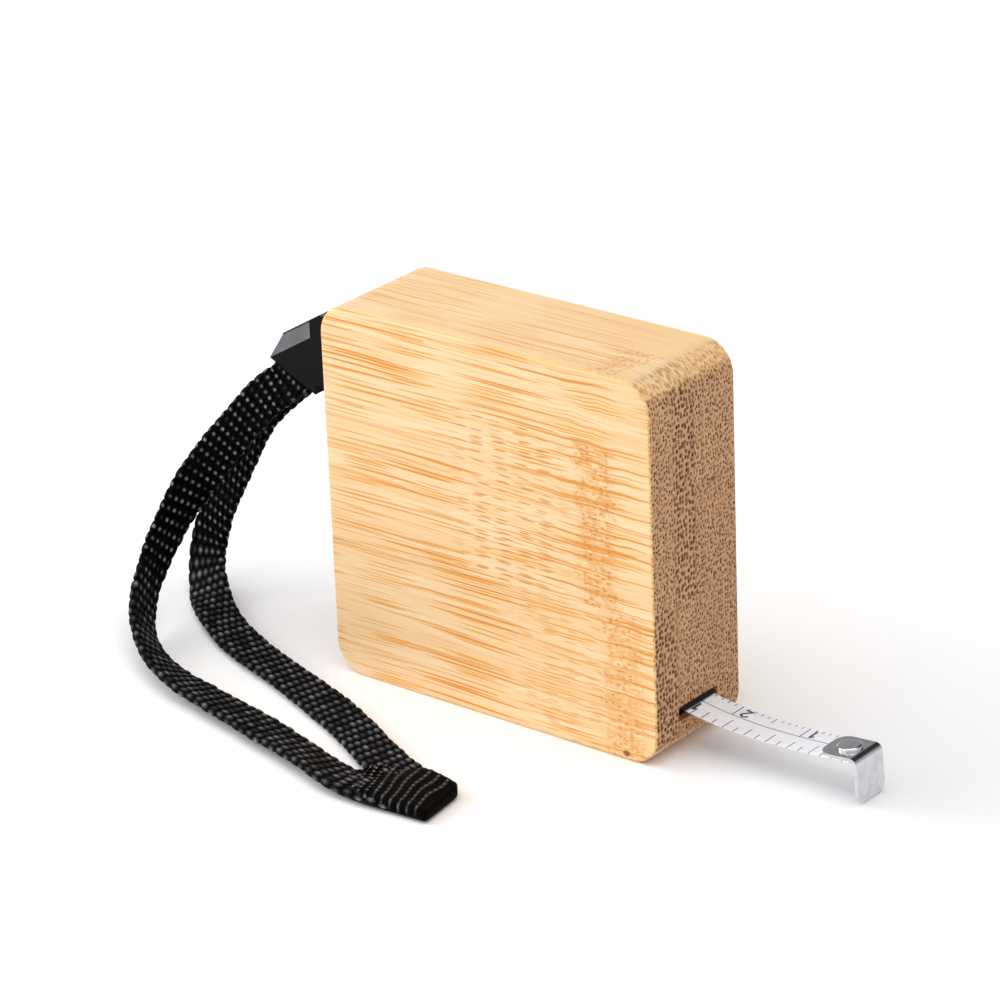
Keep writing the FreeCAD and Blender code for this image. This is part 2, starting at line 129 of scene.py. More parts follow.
class Material:
    """A Principled material with short calls for its nodes. An input is a number, a colour or a socket."""

    def __init__(self, name, **values):
        self.data = bpy.data.materials.new(name)
        self.data.use_nodes = True
        self.tree = self.data.node_tree
        self.tree.nodes.clear()
        self.shader = self.tree.nodes.new("ShaderNodeBsdfPrincipled")
        output = self.tree.nodes.new("ShaderNodeOutputMaterial")
        self.tree.links.new(self.shader.outputs[0], output.inputs[0])
        self.set(**values)

    def feed(self, socket, value):
        if isinstance(value, bpy.types.NodeSocket):
            self.tree.links.new(value, socket)
        elif socket.type == "RGBA":
            socket.default_value = (*value, 1.0)
        else:
            socket.default_value = value

    def set(self, **values):
        for name, value in values.items():
            self.feed(self.shader.inputs[name.replace("_", " ")], value)

    def node(self, kind, *values, **settings):
        made = self.tree.nodes.new("ShaderNode" + kind)
        for name, value in settings.items():
            setattr(made, name, value)
        for socket, value in zip(made.inputs, values):
            self.feed(socket, value)
        return made

    def math(self, operation, *values):
        return self.node("Math", *values, operation=operation).outputs[0]

    def add(self, first, *others):
        for other in others:
            first = self.math("ADD", first, other)
        return first

    def scaled(self, value, factor, shift=0.0):
        return self.math("MULTIPLY_ADD", value, factor, shift)

    def all_of(self, first, *others):
        for other in others:
            first = self.math("MULTIPLY", first, other)
        return first

    def most_of(self, first, *others):
        for other in others:
            first = self.math("MAXIMUM", first, other)
        return first

    def over(self, value, limit):
        return self.math("GREATER_THAN", value, limit)

    def rise(self, value, low, high):
        """0 below low and 1 above high, with a smooth step between. Low may be the larger one."""
        step = self.node("MapRange", value, low, high, 0.0, 1.0, interpolation_type="SMOOTHSTEP")
        return step.outputs[0]

    def pick(self, index, values):
        """The value in the list at a whole-number index."""
        result = values[0]
        for number in range(1, len(values)):
            change = values[number] - values[number - 1]
            result = self.scaled(self.over(index, number - 0.5), change, result)
        return result

    def split(self, vector):
        return self.node("SeparateXYZ", vector).outputs[:3]

    def join(self, x, y, z):
        return self.node("CombineXYZ", x, y, z).outputs[0]

    def place(self, body=None):
        """The point on the surface in millimetres, from the row frame's origin or from a body's."""
        coordinates = self.node("TexCoord")
        if body:
            coordinates.object = frame["bodies"][body]
        scale = self.node("VectorMath", coordinates.outputs["Object"], operation="SCALE")
        scale.inputs["Scale"].default_value = 1 / mm
        return scale.outputs[0]

    def facing(self):
        return self.split(self.node("TexCoord").outputs["Normal"])

    def noise(self, at, detail=2.0, roughness=0.5):
        made = self.node("TexNoise", at)
        made.inputs["Scale"].default_value = 1.0
        made.inputs["Detail"].default_value = detail
        made.inputs["Roughness"].default_value = roughness
        return made.outputs["Fac"]

    def noise_over(self, point, rates, detail=2.0, roughness=0.5):
        """Noise that changes at its own rate along each of the point's axes, per millimetre."""
        parts = [self.scaled(part, rate) for part, rate in zip(point, rates)]
        return self.noise(self.join(*parts), detail, roughness)

    def cells(self, along, across, randomness=1.0):
        """The distance to the nearest of points scattered on a sheet, and a random number for each."""
        made = self.node("TexVoronoi", self.join(along, across, 0.0), voronoi_dimensions="2D")
        made.inputs["Scale"].default_value = 1.0
        made.inputs["Randomness"].default_value = randomness
        return made.outputs["Distance"], self.split(made.outputs["Color"])[0]

    def mix(self, share, first, second):
        made = self.node("Mix", data_type="RGBA")
        self.feed(made.inputs[0], share)
        self.feed(made.inputs[6], first)
        self.feed(made.inputs[7], second)
        return made.outputs[2]

    def relief(self, height, depth):
        """Bump from a height of 0 to 1 that stands for depth in millimetres."""
        made = self.node("Bump")
        made.inputs["Strength"].default_value = 1.0
        made.inputs["Distance"].default_value = depth * mm
        self.feed(made.inputs["Height"], height)
        self.feed(self.shader.inputs["Normal"], made.outputs[0])


def shade(red, green, blue):
    """A colour from its usual 0 to 255 values, as linear light."""
    return tuple(((part / 255 + 0.055) / 1.055) ** 2.4 if part > 10 else part / 255 / 12.92
                 for part in (red, green, blue))


def put_on(material, *names):
    for name in names:
        for slot in nodes[name].material_slots:
            slot.material = material.data


def bamboo_strips(m, point):
    """The number of the strip at a point: 0 to 2 up the front half, then 3 to 5 up the rear half."""
    y, z = point[1:]
    rear = m.over(y, 0.0)
    front_strip = m.add(*[m.over(z, height) for height in front_joints])
    rear_strip = m.add(*[m.over(z, height) for height in rear_joints])
    strip = m.add(m.scaled(m.math("SUBTRACT", rear_strip, front_strip), rear, 0.0), front_strip,
                  m.scaled(rear, 3.0))
    return strip, rear


def bamboo_nodes(m, point, strip, top_facing):
    """How strongly a point shows a node, which is a ring of the stem, and how near it is to one."""
    x, y = point[:2]
    node_at = m.pick(strip, (20.6, 17.0, 18.5, -9.0, 3.0, -17.0))
    node_share = m.pick(strip, (0.85, 1.0, 0.1, 0.2, 0.2, 0.1))
    uneven = m.noise_over(point, (0.1, 0.5, 0.5))
    from_node = m.math("ABSOLUTE", m.add(m.math("SUBTRACT", x, node_at), m.scaled(uneven, 5.0, -2.5)))
    front_top = m.all_of(m.rise(top_facing, 0.5, 0.8), m.over(0.0, y))
    node = m.all_of(m.rise(from_node, 4.0, 1.6), m.most_of(node_share, front_top))
    return node, m.rise(from_node, 12.0, 2.0)


def bamboo_fibres(m, point, strip, near_node):
    """Places along and across the fibres, which run almost straight and bend a little beside a node."""
    x, y, z = point
    wander = m.noise_over(point, (0.03, 0.1, 0.1), 1.0)
    bow = m.noise_over(point, (0.2, 0.25, 0.25), 1.0)
    across = m.add(y, z, m.scaled(wander, 1.4, -0.7), m.all_of(m.scaled(bow, 0.9, -0.45), near_node))
    along = m.add(m.scaled(x, 0.035), m.scaled(strip, 7.3))
    return along, across


def bamboo_side(m, point, top_facing, strip, rear):
    """Long grain: its colour, and the streaks and threads that its roughness and relief need."""
    x = point[0]
    node, near_node = bamboo_nodes(m, point, strip, top_facing)
    along, across = bamboo_fibres(m, point, strip, near_node)

    threads = m.noise(m.join(m.scaled(along, 0.8), m.scaled(across, 2.6), 0.0), 3.0, 0.62)
    drift = m.noise(m.join(m.scaled(along, 0.6), m.scaled(across, 0.4), 0.0), 2.0)
    streak, streak_random = m.cells(along, m.scaled(across, 2.0))
    streaks = m.all_of(m.rise(streak, 0.38, 0.2), m.rise(streak_random, 0.4, 0.9))
    fine, fine_random = m.cells(m.scaled(along, 2.1), m.scaled(across, 3.3))
    fine_streaks = m.all_of(m.rise(fine, 0.42, 0.24), m.rise(fine_random, 0.25, 0.9))

    # Short dashes, each strip with its own share of them round its own place
    dash_share = m.pick(strip, (0.6, 1.0, 0.12, 0.3, 0.2, 0.1))
    dash_at = m.pick(strip, (12.0, 3.5, 8.0, -2.0, 10.0, -8.0))
    dash_zone = m.rise(m.math("ABSOLUTE", m.math("SUBTRACT", x, dash_at)), 13.0, 4.0)
    dash, dash_random = m.cells(m.scaled(x, 0.3), m.scaled(across, 2.7))
    dashes = m.all_of(m.rise(dash, 0.38, 0.24), m.rise(dash_random, 0.25, 0.85), dash_share,
                      m.most_of(dash_zone, node))

    # The grain is calmer on the top, most of all in the rear half
    plain = m.all_of(m.rise(top_facing, 0.7, 0.9), m.most_of(rear, 0.5))
    strength = m.scaled(plain, -0.6, 1.0)
    tone = m.pick(strip, (0.5, 0.42, 0.34, 0.45, 0.65, 0.5))
    side = m.mix(m.rise(m.add(drift, m.scaled(tone, 0.3, -0.13)), 0.36, 0.64),
                 shade(243, 213, 170), shade(240, 202, 152))
    side = m.mix(m.all_of(m.rise(threads, 0.48, 0.66), strength, 0.7), side, shade(238, 190, 124))
    side = m.mix(m.all_of(fine_streaks, strength), side, shade(228, 162, 80))
    side = m.mix(m.all_of(streaks, strength), side, shade(224, 146, 58))
    side = m.mix(m.all_of(dashes, strength, 0.85), side, shade(214, 138, 62))

    # A node: deeper colour, with small dots
    patchy = m.noise(m.join(m.scaled(x, 0.7), m.scaled(across, 0.8), 0.0), 3.0, 0.7)
    side = m.mix(m.all_of(node, m.rise(patchy, 0.38, 0.6), strength, 0.6), side, shade(222, 156, 80))
    speck, speck_random = m.cells(m.scaled(x, 1.1), m.scaled(across, 1.9))
    specks = m.all_of(m.rise(speck, 0.42, 0.22), m.rise(speck_random, 0.3, 0.75), node)
    side = m.mix(m.all_of(specks, m.most_of(strength, 0.2), 0.65), side, shade(198, 126, 56))
    return side, streaks, threads


def bamboo_flaws(m, point, front_facing, side):
    """The side's colour with dark threads beside the lowest joint, one small knot, and deeper roundings."""
    x, y, z = point
    thread_height = 18.5
    on_front = m.over(-8.0, y)
    grouped = m.noise(m.join(m.scaled(x, 0.06), m.scaled(z, 4.6), 0.0), 3.0)
    beside_joint = m.all_of(m.rise(m.math("ABSOLUTE", m.add(z, -thread_height)), 1.1, 0.4),
                            m.rise(x, 20.0, 12.0), on_front, m.rise(grouped, 0.5, 0.62))
    side = m.mix(m.scaled(beside_joint, 0.6), side, shade(204, 136, 66))
    from_knot = m.node("VectorMath", m.join(m.scaled(x, 1.5, -31.2), 0.0, m.scaled(z, 2.2, -2.0)),
                       operation="LENGTH").outputs["Value"]
    knot = m.all_of(m.rise(from_knot, 1.15, 0.5), on_front)
    side = m.mix(m.scaled(knot, 0.85), side, shade(112, 66, 34))
    eased = m.all_of(m.rise(front_facing, 0.15, 0.5), m.rise(front_facing, 0.97, 0.8))
    return m.mix(m.scaled(eased, 0.5), side, shade(242, 186, 96))


def bamboo_end(m, point, strip, rear):
    """End grain: its colour, and its dots, small ones with coarse ones towards the skin of each strip."""
    y, z = point[1:]
    skin_step = 20.4
    upper_skin = m.all_of(m.rise(y, -4.6, -3.8), m.rise(y, 0.3, 0.1), m.over(z, skin_step))
    lower_skin = m.all_of(m.rise(y, -3.2, -4.6), m.over(skin_step, z))
    skin = m.most_of(upper_skin, lower_skin)
    dot, dot_random = m.cells(m.scaled(y, 2.1), m.scaled(z, 1.75), 0.8)
    pore, pore_random = m.cells(m.scaled(y, 1.65), m.scaled(z, 1.3), 0.7)
    small_dots = m.all_of(m.rise(dot, 0.44, 0.26), m.scaled(dot_random, 0.6, 0.4))
    pores = m.all_of(m.rise(pore, 0.46, 0.3), m.scaled(pore_random, 0.3, 0.7), skin)
    dots = m.most_of(m.all_of(small_dots, m.scaled(skin, -0.7, 1.0)), pores)
    cloud = m.noise(m.join(0.0, m.scaled(y, 0.9), m.scaled(z, 0.12)), 3.0)
    end_tone = m.pick(strip, (0.4, 0.45, 0.0, 0.6, 1.0, 0.4))
    grain = m.mix(m.add(m.scaled(m.rise(cloud, 0.3, 0.7), 0.5), m.scaled(end_tone, 0.5)),
                  shade(208, 160, 114), shade(192, 143, 102))
    grain = m.mix(dots, grain, shade(78, 42, 20))

    # The joints between the halves and between the rear strips, with one open spot
    gap_middle = 3.9
    half_joint = m.rise(m.math("ABSOLUTE", y), 0.16, 0.05)
    from_joint = m.math("ABSOLUTE", m.add(z, -rear_joints[1]))
    strip_joint = m.all_of(m.rise(from_joint, 0.22, 0.08), rear)
    gap = m.all_of(m.rise(from_joint, 0.3, 0.15),
                   m.rise(m.math("ABSOLUTE", m.add(y, -gap_middle)), 0.7, 0.4))
    joints = m.most_of(m.all_of(m.most_of(half_joint, strip_joint), 0.25), m.all_of(gap, 0.8))
    return m.mix(joints, grain, shade(84, 46, 26)), dots


def bamboo_slot(m, point, end_facing):
    """1 on the walls of the blade's slot, which get a painted shade."""
    x, y, z = point
    wall_start, wall_fade, wall_end = 23.0, 25.2, 25.4
    slot_low, slot_high, slot_half = 4.3, 6.7, 4.3
    return m.all_of(m.rise(x, wall_end, wall_fade), m.over(x, wall_start), m.over(slot_high, z),
                    m.over(z, slot_low), m.over(slot_half, m.math("ABSOLUTE", y)),
                    m.rise(end_facing, 0.5, 0.2))


def bamboo():
    """Laminated bamboo: strips along X, with long streaks on the sides and dots on the end grain."""
    m = Material("bamboo_laminate", Specular_IOR_Level=0.25)
    point = m.split(m.place())
    end_facing, front_facing, top_facing = [m.math("ABSOLUTE", part) for part in m.facing()]
    strip, rear = bamboo_strips(m, point)
    side, streaks, threads = bamboo_side(m, point, top_facing, strip, rear)
    side = bamboo_flaws(m, point, front_facing, side)
    grain, dots = bamboo_end(m, point, strip, rear)

    # From the sides, over the rounding, to the end grain
    rounding = m.mix(m.scaled(dots, 0.75), side, shade(180, 116, 58))
    colour = m.mix(m.rise(end_facing, 0.2, 0.45), side, rounding)
    colour = m.mix(m.rise(end_facing, 0.78, 0.97), colour, grain)
    # Painted shade: the slot's walls are the bamboo darkened to orange-brown, as in the slot's shadow
    in_slot = bamboo_slot(m, point, end_facing)
    colour = m.mix(m.scaled(in_slot, 0.85), colour, shade(180, 104, 36))

    end = m.rise(end_facing, 0.5, 0.9)
    marks = m.add(m.all_of(dots, end), m.all_of(m.scaled(streaks, 0.3), m.scaled(end, -1.0, 1.0)))
    m.set(Base_Color=colour, Roughness=m.scaled(marks, 0.2, 0.46))
    m.relief(m.add(m.scaled(marks, -1.0), m.scaled(threads, 0.4)), 0.03)
    return m


def moulded(name, colour, roughness, grain=3.0, gloss=0.4, painted_top_highlight=None):
    """Moulded plastic or turned wood with a fine matt grain. The optional last argument is a painted
    highlight: a lighter colour laid on the upward faces, where light from above falls.
    """
    m = Material(name, Specular_IOR_Level=gloss)
    point = m.split(m.place())
    fine = m.noise_over(point, (grain, grain, grain), 3.0)
    patches = m.rise(m.noise_over(point, (0.25, 0.25, 0.25)), 0.3, 0.7)
    lighter = tuple(min(1.0, part * 1.4 + 0.001) for part in colour)
    painted = m.mix(m.scaled(patches, 0.5), colour, lighter)
    # Painted highlight: the upward faces are made lighter, as light from above would make them look
    if painted_top_highlight:
        upward = m.rise(m.facing()[2], 0.3, 0.5)
        painted = m.mix(m.all_of(upward, m.scaled(patches, 0.4, 0.6)), painted, painted_top_highlight)
    m.set(Base_Color=painted, Roughness=m.scaled(fine, 0.16, roughness - 0.08))
    m.relief(fine, 0.02)
    return m


def metal(name, colour, roughness, along, body=None):
    """Worked metal. along holds how quickly its scratches change on each axis, per millimetre."""
    m = Material(name, Metallic=1.0)
    point = m.split(m.place(body))
    scratch = m.noise_over(point, along, 4.0, 0.6)
    stain = m.noise_over(point, (0.8, 0.8, 0.8), 3.0)
    darker = tuple(part * 0.88 for part in colour)
    m.set(Base_Color=m.mix(m.rise(stain, 0.42, 0.68), colour, darker),
          Roughness=m.add(m.scaled(scratch, 0.18, roughness - 0.09), m.scaled(stain, 0.1, -0.05)))
    m.relief(scratch, 0.006)
    return m


# ---- printed scale ----

def bar(m, at, start, end):
    """The distance from a point to a straight stroke."""
    run = Vector((*end, 0.0)) - Vector((*start, 0.0))
    away = m.node("VectorMath", at, (*start, 0.0), operation="SUBTRACT").outputs[0]
    dot = m.node("VectorMath", away, tuple(run / run.length_squared), operation="DOT_PRODUCT")
    share = m.math("MINIMUM", m.math("MAXIMUM", dot.outputs["Value"], 0.0), 1.0)
    nearest = m.node("VectorMath", tuple(run), operation="SCALE")
    m.feed(nearest.inputs["Scale"], share)
    gap = m.node("VectorMath", away, nearest.outputs[0], operation="SUBTRACT").outputs[0]
    return m.node("VectorMath", gap, operation="LENGTH").outputs["Value"]


def arc(m, at, centre, radius, middle, reach):
    """The distance from a point to a round stroke that spans reach degrees each way from middle."""
    away = m.node("VectorMath", at, (*centre, 0.0), operation="SUBTRACT").outputs[0]
    length = m.node("VectorMath", away, operation="LENGTH").outputs["Value"]
    turn = math.radians(middle)
    towards = (math.cos(turn), math.sin(turn), 0.0)
    dot = m.node("VectorMath", away, towards, operation="DOT_PRODUCT").outputs["Value"]
    outside = m.over(m.scaled(length, math.cos(math.radians(reach))), m.add(dot, 0.001))
    return m.add(m.math("ABSOLUTE", m.add(length, -radius)), outside)


def digit_distance(m, digit, at):
    """The distance from a point to the strokes of a digit, which is 1.6 high and 0.84 wide."""
    ring = 0.42
    ring_height = 0.38
    top = 0.8
    far_off = 9.0
    upper = (0.0, ring_height)
    lower = (0.0, -ring_height)
    strokes = (
        (arc, (upper, ring, 90, 91), (0, 2, 3, 6, 8, 9)),
        (arc, (upper, ring, 225, 46), (8, 9)),
        (arc, (upper, ring, 315, 46), (3, 8, 9)),
        (arc, (lower, ring, 270, 91), (0, 3, 5, 6, 8, 9)),
        (arc, (lower, ring, 135, 46), (6, 8)),
        (arc, (lower, ring, 45, 46), (3, 5, 6, 8)),
        (bar, ((-ring, ring_height), (-ring, -ring_height)), (0, 6)),
        (bar, ((ring, ring_height), (ring, -ring_height)), (0, 9)),
        (bar, ((0.1, top), (0.1, -top)), (1,)),
        (bar, ((0.1, top), (-0.25, 0.5)), (1,)),
        (arc, (upper, ring, 335, 26), (2,)),
        (bar, ((0.32, 0.1), (-ring, -top)), (2,)),
        (bar, ((-ring, -top), (ring, -top)), (2,)),
        (bar, ((-ring, top), (ring, top)), (5, 7)),
        (bar, ((ring, top), (-0.12, -top)), (7,)),
        (bar, ((-0.4, top), (-0.4, 0.04)), (5,)),
        (bar, ((-0.4, 0.04), (0.0, 0.04)), (5,)),
        (bar, ((0.16, top), (-0.45, -0.3)), (4,)),
        (bar, ((-0.45, -0.3), (0.45, -0.3)), (4,)),
        (bar, ((0.2, top), (0.2, -top)), (4,)),
    )
    nearest = far_off
    for stroke, shape, digits in strokes:
        used = [float(number in digits) for number in range(10)]
        unused = m.scaled(m.pick(digit, used), -far_off, far_off)
        nearest = m.math("MINIMUM", nearest, m.add(stroke(m, at, *shape), unused))
    return nearest


def ticks(m, distance, across_from_edge, pitch, length, half_line):
    """Lines at every pitch along the blade, from its edge inwards."""
    share = m.math("ABSOLUTE", m.math("SUBTRACT", m.math("FRACT", m.scaled(distance, 1 / pitch, 0.5)), 0.5))
    on_line = m.rise(m.scaled(share, pitch), half_line + 0.045, half_line - 0.025)
    return m.all_of(on_line, m.rise(across_from_edge, length + 0.04, length - 0.04))


def scale_numbers(m, y, distance, metric, unit):
    """Centimetre and inch numbers, on the hook side of their lines. They read from the metric edge."""
    size = 1.03
    cell_shift = 1.25
    middle_to_line = 1.3
    metric_row, inch_row = 1.42, -1.35
    half_step = 0.56
    number = m.math("ROUND", m.math("DIVIDE", m.add(distance, cell_shift), unit))
    before_line = m.math("SUBTRACT", m.all_of(number, unit), distance)
    tens = m.math("FLOOR", m.scaled(number, 0.1))
    ones = m.math("SUBTRACT", number, m.scaled(tens, 10.0))
    two_digits = m.over(number, 9.5)

    # A digit's right is -X, away from the hook, and its top is towards -Y
    row_middle = m.scaled(metric, metric_row - inch_row, inch_row)
    height = m.scaled(m.math("SUBTRACT", row_middle, y), 1 / size)
    along_row = m.math("SUBTRACT", before_line, middle_to_line)
    in_tens = m.all_of(m.over(along_row, 0.0), two_digits)
    digit = m.add(ones, m.all_of(in_tens, m.math("SUBTRACT", tens, ones)))
    offset = m.all_of(m.scaled(in_tens, 2.0, -1.0), two_digits, half_step)
    sideways = m.scaled(m.math("SUBTRACT", offset, along_row), 1 / size)
    glyph = digit_distance(m, digit, m.join(sideways, height, 0.0))
    return m.all_of(m.rise(glyph, 0.21, 0.11), m.over(number, 0.5))


def blade_paint(name, body):
    """White enamel with a metric scale on one edge and an inch scale on the other."""
    m = Material(name)
    x, y, z = m.split(m.place(body))
    top = m.over(m.facing()[2], 0.2)
    zero = blade_high.x / mm + hook_reach
    far_edge = blade_high.y / mm
    near_edge = blade_low.y / mm
    centre = 0.19
    inch = 25.4
    distance = m.scaled(x, -1.0, zero)
    from_far = m.scaled(y, -1.0, far_edge)
    from_near = m.add(y, -near_edge)
    metric = m.over(y, centre)

    metric_ticks = m.most_of(
        ticks(m, distance, from_far, 1.0, 0.65, 0.05),
        ticks(m, distance, from_far, 5.0, 1.45, 0.055),
        ticks(m, distance, from_far, 10.0, far_edge - centre, 0.06))
    inch_ticks = m.most_of(
        ticks(m, distance, from_near, inch / 16, 1.1, 0.055),
        ticks(m, distance, from_near, inch / 8, 1.75, 0.055),
        ticks(m, distance, from_near, inch / 4, 2.25, 0.055),
        ticks(m, distance, from_near, inch, centre - near_edge, 0.06))
    marks = m.mix(metric, m.join(inch_ticks, 0, 0), m.join(metric_ticks, 0, 0))
    marks = m.split(marks)[0]
    line = m.rise(m.math("ABSOLUTE", m.add(y, -centre)), 0.095, 0.035)

    unit = m.scaled(metric, 10.0 - inch, inch)
    digits = scale_numbers(m, y, distance, metric, unit)
    ink = m.all_of(m.most_of(marks, line, digits), top)
    haze = m.noise_over((x, y, z), (0.7, 0.7, 0.7), 3.0)
    paint = m.mix(m.rise(haze, 0.3, 0.7), shade(245, 246, 253), shade(251, 251, 255))
    edge = m.rise(m.math("MINIMUM", from_far, from_near), 0.05, 0.0)
    paint = m.mix(m.scaled(edge, 0.5), paint, shade(150, 150, 156))
    m.set(Base_Color=m.mix(m.scaled(ink, 0.96), paint, shade(24, 24, 29)),
          Roughness=m.scaled(haze, 0.1, 0.3))
    m.relief(m.add(m.scaled(ink, 0.5), m.scaled(haze, 0.2)), 0.01)
    return m


def webbing():
    """Black woven yarn. The weave is in the mesh, with its crests marked for a painted highlight, and this
    adds filaments.
    """
    m = Material("woven_yarn", Specular_IOR_Level=0.02)
    fuzz = m.noise_over(m.split(m.place()), (9.0, 9.0, 9.0), 3.0)
    crest = m.node("Attribute", attribute_name="crest").outputs["Fac"]
    # Painted highlight: the grain crests are coloured light grey as glints of light on the near-black yarn
    painted_glint = m.all_of(crest, m.scaled(m.rise(fuzz, 0.3, 0.7), 0.55, 0.45))
    dark = m.mix(m.rise(fuzz, 0.4, 0.75), shade(1, 1, 1), shade(8, 8, 9))
    m.set(Base_Color=m.mix(painted_glint, dark, shade(150, 150, 153)), Roughness=m.scaled(fuzz, 0.2, 0.4))
    m.relief(fuzz, 0.03)
    return m


# ---- meshes ----

def mesh_object(name, points, faces, material, smooth=True):
    mesh = bpy.data.meshes.new(name)
    mesh.from_pydata(points, [], faces)
    mesh.materials.append(material.data)
    mesh.polygons.foreach_set("use_smooth", [smooth] * len(mesh.polygons))
    mesh.update()
    made = bpy.data.objects.new(name, mesh)
    bpy.context.scene.collection.objects.link(made)
    return made


def grid_faces(rings, around):
    """Quads between closed rings of points, with one flat face over each end."""
    faces = []
    for ring in range(rings - 1):
        for step in range(around):
            following = (step + 1) % around
            faces.append((ring * around + step, ring * around + following,
                          (ring + 1) * around + following, (ring + 1) * around + step))
    faces.append(tuple(range(around))[::-1])
    faces.append(tuple(range((rings - 1) * around, rings * around)))
    return faces


def spline_line(name, route):
    """Points along the smooth NURBS line that has the route as its control points."""
    curve = bpy.data.curves.new(name, "CURVE")
    curve.dimensions = "3D"
    spline = curve.splines.new("NURBS")
    spline.points.add(len(route) - 1)
    for point, place in zip(spline.points, route):
        point.co = (*place, 1.0)
    spline.order_u = 3
    spline.use_endpoint_u = True
    spline.resolution_u = 32
    holder = bpy.data.objects.new(name, curve)
    mesh = bpy.data.meshes.new_from_object(holder)
    line = np.array([vertex.co for vertex in mesh.vertices])
    bpy.data.objects.remove(holder)
    bpy.data.curves.remove(curve)
    bpy.data.meshes.remove(mesh)
    return line


def even_line(line, step):
    """The same line with points an even step apart, and the distance to each."""
    lengths = np.concatenate([[0.0], np.cumsum(np.linalg.norm(np.diff(line, axis=0), axis=1))])
    count = max(2, round(lengths[-1] / step))
    at = np.linspace(0.0, lengths[-1], count + 1)
    return np.column_stack([np.interp(at, lengths, line[:, axis]) for axis in range(3)]), at


def unit_rows(rows):
    return rows / np.linalg.norm(rows, axis=1, keepdims=True)


def smooth_step(value, low, high):
    share = min(1.0, max(0.0, (value - low) / (high - low)))
    return share * share * (3 - 2 * share)


def rounded(share):
    """The height of a quarter circle at a share of its width."""
    return math.sqrt(max(0.0, 1 - (1 - share) ** 2))


def strap_section():
    """A flat strip's outline: places across and through it, the way out at each, and the weave column."""
    half_flat = (strap_width - strap_thickness) / 2
    radius = strap_thickness / 2
    flat = 2 * half_flat
    bend = math.pi * radius
    around = 2 * (flat + bend)
    places, ways, columns = [], [], []
    count = weave_columns * samples_per_column
    for number in range(count):
        share = (number + 0.5) / count
        run = share * around
        if run < flat:
            place, way = (-half_flat + run, radius), (0.0, 1.0)
        elif run < flat + bend:
            turn = (run - flat) / radius
            way = (math.sin(turn), math.cos(turn))
            place = (half_flat + radius * way[0], radius * way[1])
        elif run < 2 * flat + bend:
            place, way = (half_flat - (run - flat - bend), -radius), (0.0, -1.0)
        else:
            turn = (run - 2 * flat - bend) / radius
            way = (-math.sin(turn), -math.cos(turn))
            place = (-half_flat + radius * way[0], radius * way[1])
        places.append(place)
        ways.append(way)
        columns.append(share * weave_columns)
    return np.array(places), np.array(ways), np.array(columns)


def yarn_sizes(seed):
    """A random size near 1 for each grain of the weave."""
    spread = np.random.default_rng(seed).standard_normal((weave_pattern_rows, weave_columns))
    return 1 + 0.17 * spread.clip(-2, 1.5)


def weave(columns, rows, sizes):
    """Height and crest of the weave: rounded grains, with every second row moved over by a column. The
    crest is the strength of a painted highlight on each grain's top.
    """
    grain_across, grain_along = 0.47 * mm, 0.78 * mm
    crest_across, crest_along = 0.27 * mm, 0.33 * mm
    height = np.zeros_like(columns)
    crest = np.zeros_like(columns)
    column_size = weave_circumference / weave_columns
    for row in (np.floor(rows), np.floor(rows) + 1):
        column = 2 * np.round((columns - row) / 2) + row
        size = sizes[row.astype(int) % weave_pattern_rows, column.astype(int) % weave_columns]
        across = (columns - column) * column_size
        along = (rows - row) * weave_row
        grain = 1 - (across / grain_across) ** 2 - (along / grain_along) ** 2
        height = np.maximum(height, size * np.sqrt(np.maximum(grain, 0)))
        top = 1 - (across / crest_across) ** 2 - (along / crest_along) ** 2
        # How bright the painted highlight on each grain is, from the grain's size
        painted_glint = np.clip(2.2 * (size - 0.72), 0.1, 1.2)
        crest = np.maximum(crest, painted_glint * np.maximum(top, 0))
    return height, crest


def mark_crests(made, crests):
    # The crest attribute carries the strength of the painted highlight for the yarn's material
    layer = made.data.attributes.new("crest", "FLOAT", "POINT")
    layer.data.foreach_set("value", np.clip(crests, 0, 1).astype(np.float32))


def lifted(lows, reach):
    """How far each ring must rise to clear the floor, changing gently along the strip."""
    clearance = 0.04 * mm
    need = np.maximum(0, clearance - lows)
    spread = np.array([need[max(0, at - reach):at + reach + 1].max() for at in range(len(need))])
    weights = np.hanning(2 * reach + 3)
    return np.convolve(np.pad(spread, reach + 1, mode="edge"), weights / weights.sum(), mode="valid")


